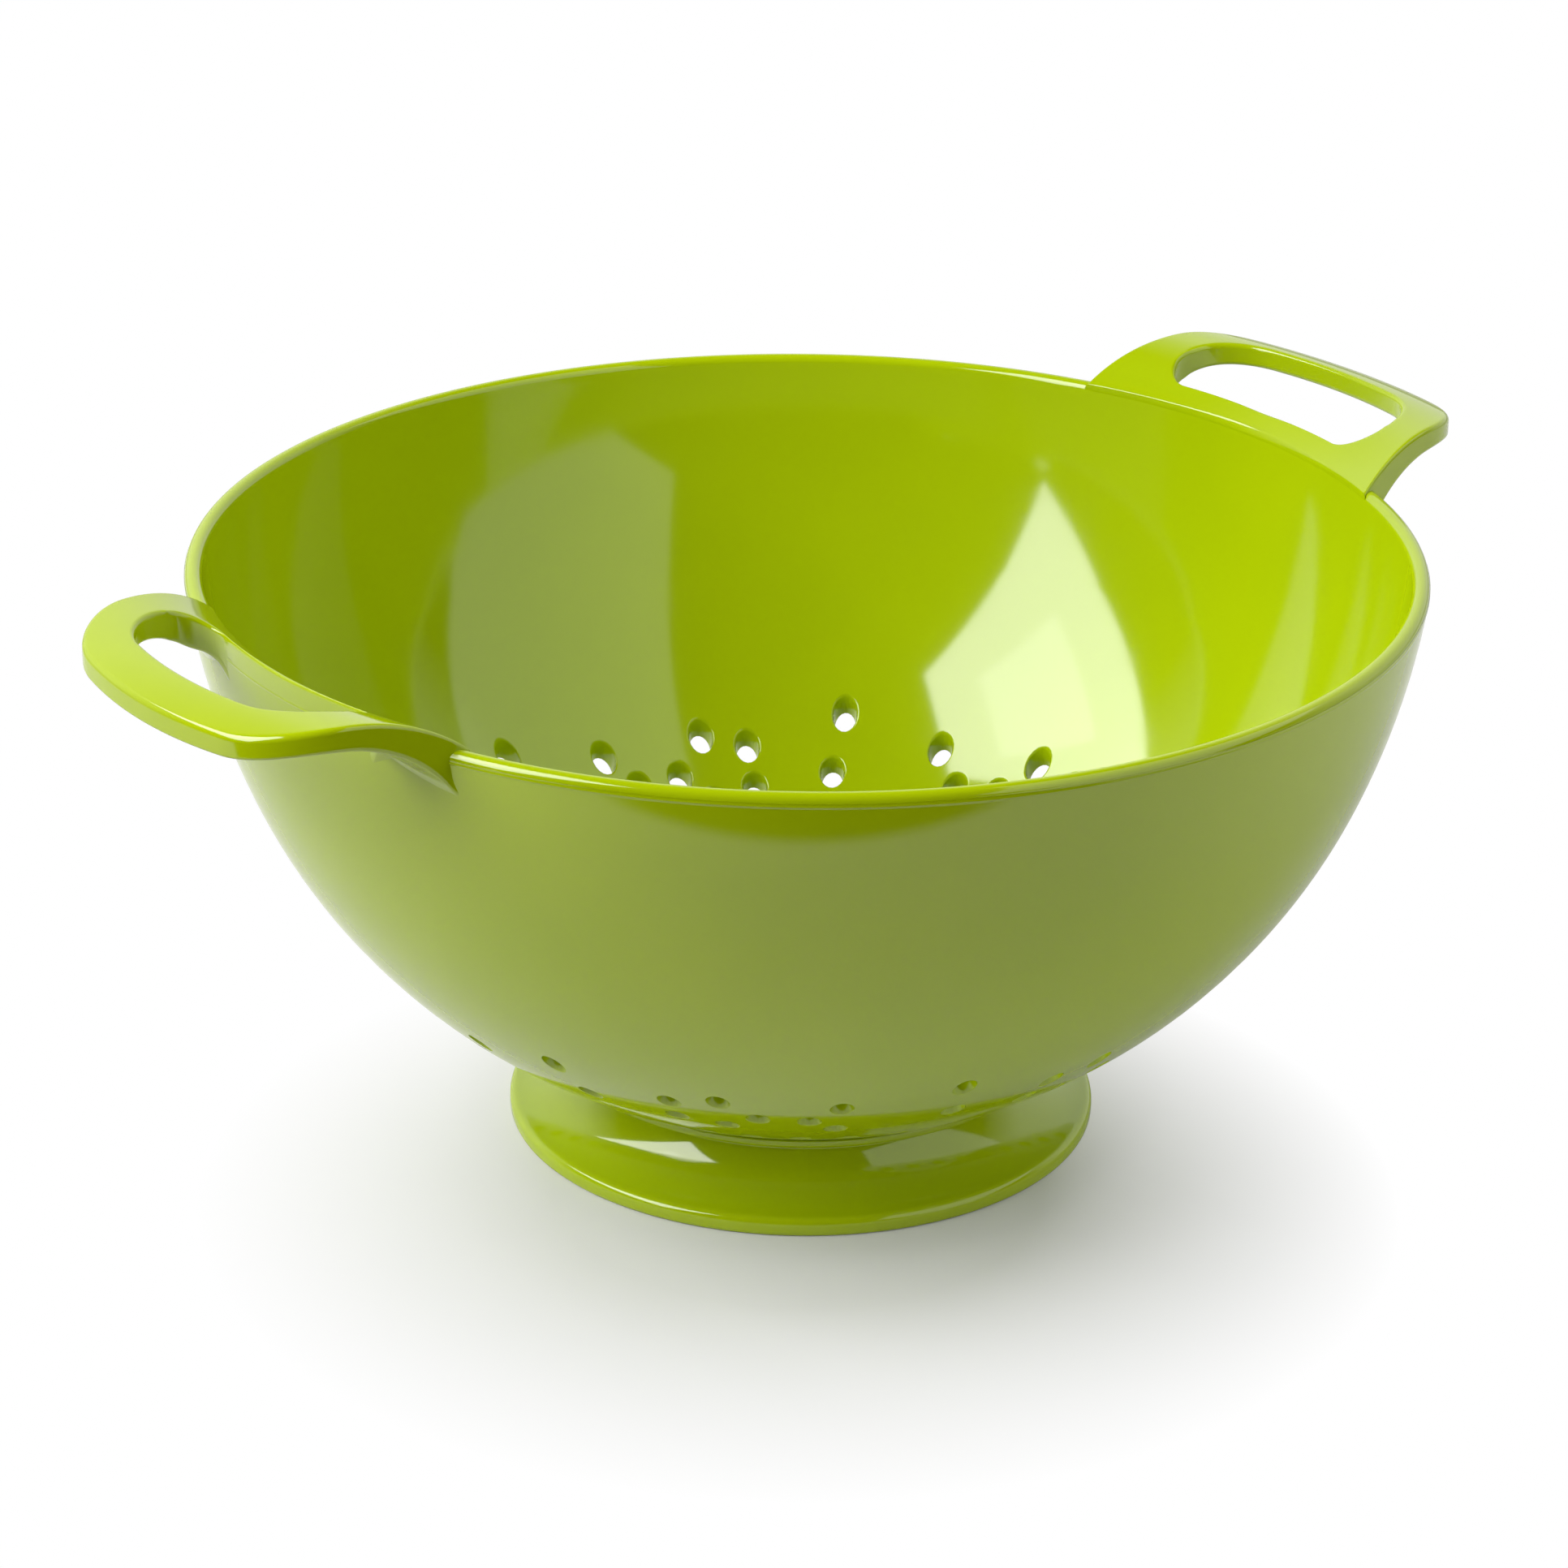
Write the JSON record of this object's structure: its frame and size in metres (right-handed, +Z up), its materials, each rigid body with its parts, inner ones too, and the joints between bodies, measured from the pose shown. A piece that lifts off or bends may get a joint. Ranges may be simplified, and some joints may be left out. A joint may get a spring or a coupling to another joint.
{
  "type": "melamine colander",
  "caption": "Round bowl-shaped kitchen colander with two upswept loop handles, pierced wall and floor, and a flared foot ring.",
  "frame": {"origin": "centre of the foot ring's base, on the table", "axes": "+Z up out of the bowl; +X along the line through the two handles"},
  "size_m": [0.3114, 0.2496, 0.1325],
  "materials": {
    "melamine": "gloss lime green melamine"
  },
  "bodies": {
    "root": {"bowl": "melamine", "foot_ring": "melamine"}
  },
  "joints": []
}
